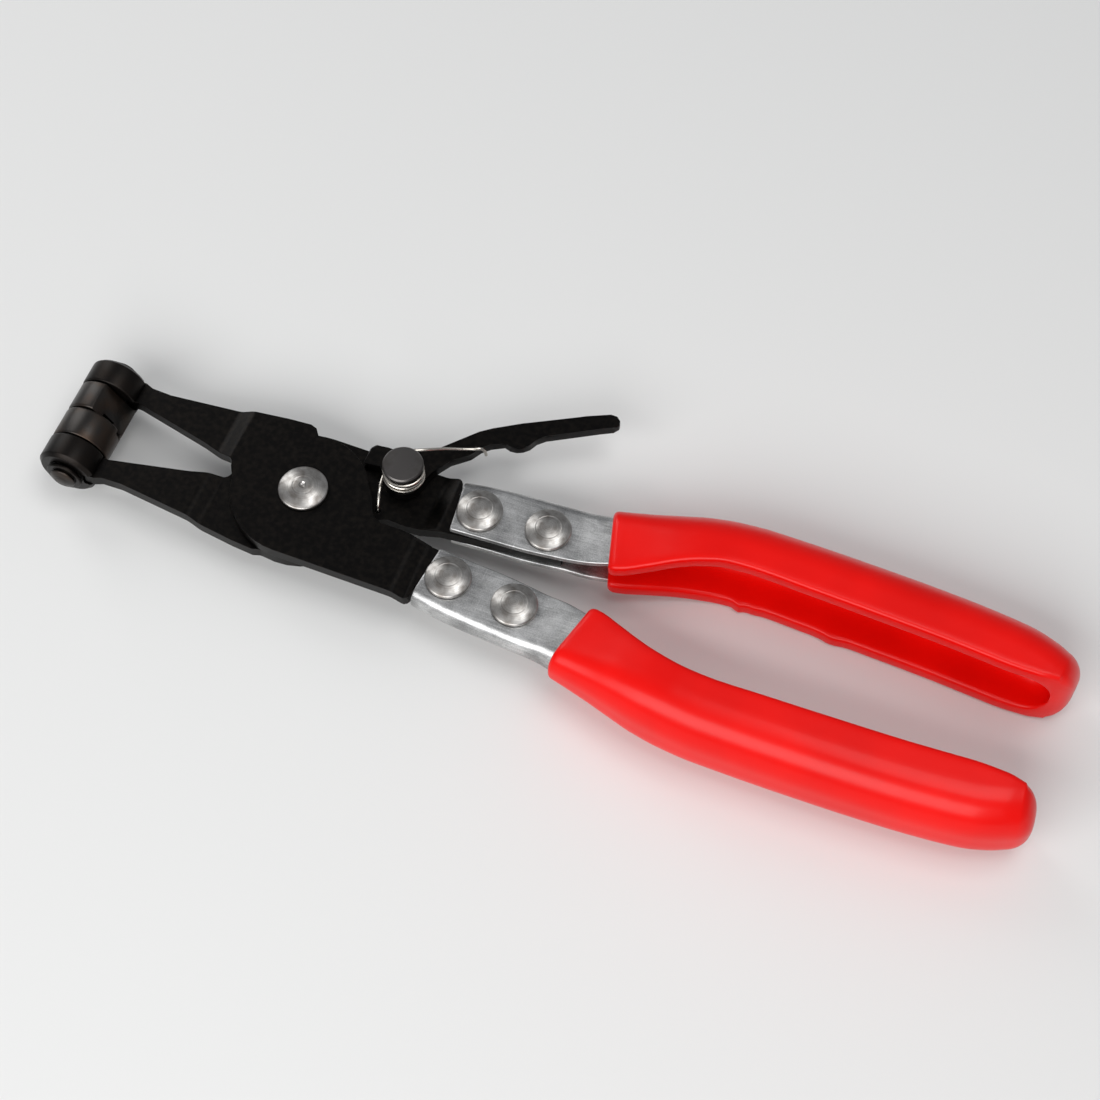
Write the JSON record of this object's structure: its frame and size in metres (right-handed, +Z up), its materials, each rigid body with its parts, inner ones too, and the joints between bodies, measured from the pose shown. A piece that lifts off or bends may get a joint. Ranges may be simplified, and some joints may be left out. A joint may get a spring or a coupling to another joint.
{
  "type": "hose clamp pliers",
  "caption": "Hose clamp pliers with swivelling grooved jaw tips, pressed steel handles with red dipped grips and a spring loaded lock lever.",
  "frame": {"origin": "centre of the bounding box's bottom face, on the surface that the pliers lie on, jaws closed", "axes": "+X from the jaw tips to the handle ends, +Y towards the handle that carries the lock lever, +Z up, along the main pivot"},
  "size_m": [0.2272, 0.0702, 0.0204],
  "materials": {
    "black_steel": "black oxide coated pressed steel, satin, worn bright along its edges",
    "tip_steel": "dark turned steel, oiled",
    "rivet_steel": "bright domed head with fine turning marks",
    "pin_steel": "grey turned steel, finely brushed",
    "spring_steel": "bright drawn wire",
    "zinc_plate": "zinc plated pressed steel, satin with a fine grain",
    "red_vinyl": "glossy dipped plastic"
  },
  "bodies": {
    "lower_jaw_half": {"lower_jaw_plate": "black_steel", "main_pivot_rivet": "rivet_steel", "pivot_washer": "pin_steel", "lock_pin": "pin_steel", "lock_pin_washer": "pin_steel", "lock_spring": "spring_steel", "lower_tip_boss": "tip_steel", "upper_handle_channel": "zinc_plate", "upper_grip": "red_vinyl", "upper_handle_rivet_1": "rivet_steel", "upper_handle_rivet_2": "rivet_steel"},
    "upper_jaw_half": {"upper_jaw_plate": "black_steel", "upper_tip_boss": "tip_steel", "lower_handle_channel": "zinc_plate", "lower_grip": "red_vinyl", "lower_handle_rivet_1": "rivet_steel", "lower_handle_rivet_2": "rivet_steel"},
    "lock_lever": {"lock_lever": "black_steel"},
    "lower_tip": {"lower_swivel_tip": "tip_steel", "lower_tip_spindle": "tip_steel", "lower_tip_collar": "tip_steel"},
    "upper_tip": {"upper_swivel_tip": "tip_steel", "upper_tip_spindle": "tip_steel", "upper_tip_collar": "tip_steel"}
  },
  "joints": [
    {"name": "main_pivot", "type": "hinge", "parent": "lower_jaw_half", "child": "upper_jaw_half", "pos_m": [-0.05556, -0.00805, 0.0102], "axis": [0, 0, -1], "range_deg": [0, 35]},
    {"name": "lock_lever_pivot", "type": "hinge", "parent": "lower_jaw_half", "child": "lock_lever", "pos_m": [-0.03646, 0.00295, 0.0102], "axis": [0, 0, -1], "range_deg": [0, 12], "stiffness_Nm_per_rad": 0.03, "springref_deg": -34.38, "deforming": ["lock_spring"]},
    {"name": "lower_tip_swivel", "type": "hinge", "parent": "lower_jaw_half", "child": "lower_tip", "pos_m": [-0.10686, -0.00805, 0.0102], "axis": [0, 1, 0], "continuous": true},
    {"name": "upper_tip_swivel", "type": "hinge", "parent": "upper_jaw_half", "child": "upper_tip", "pos_m": [-0.10686, -0.00805, 0.0102], "axis": [0, 1, 0], "continuous": true}
  ]
}
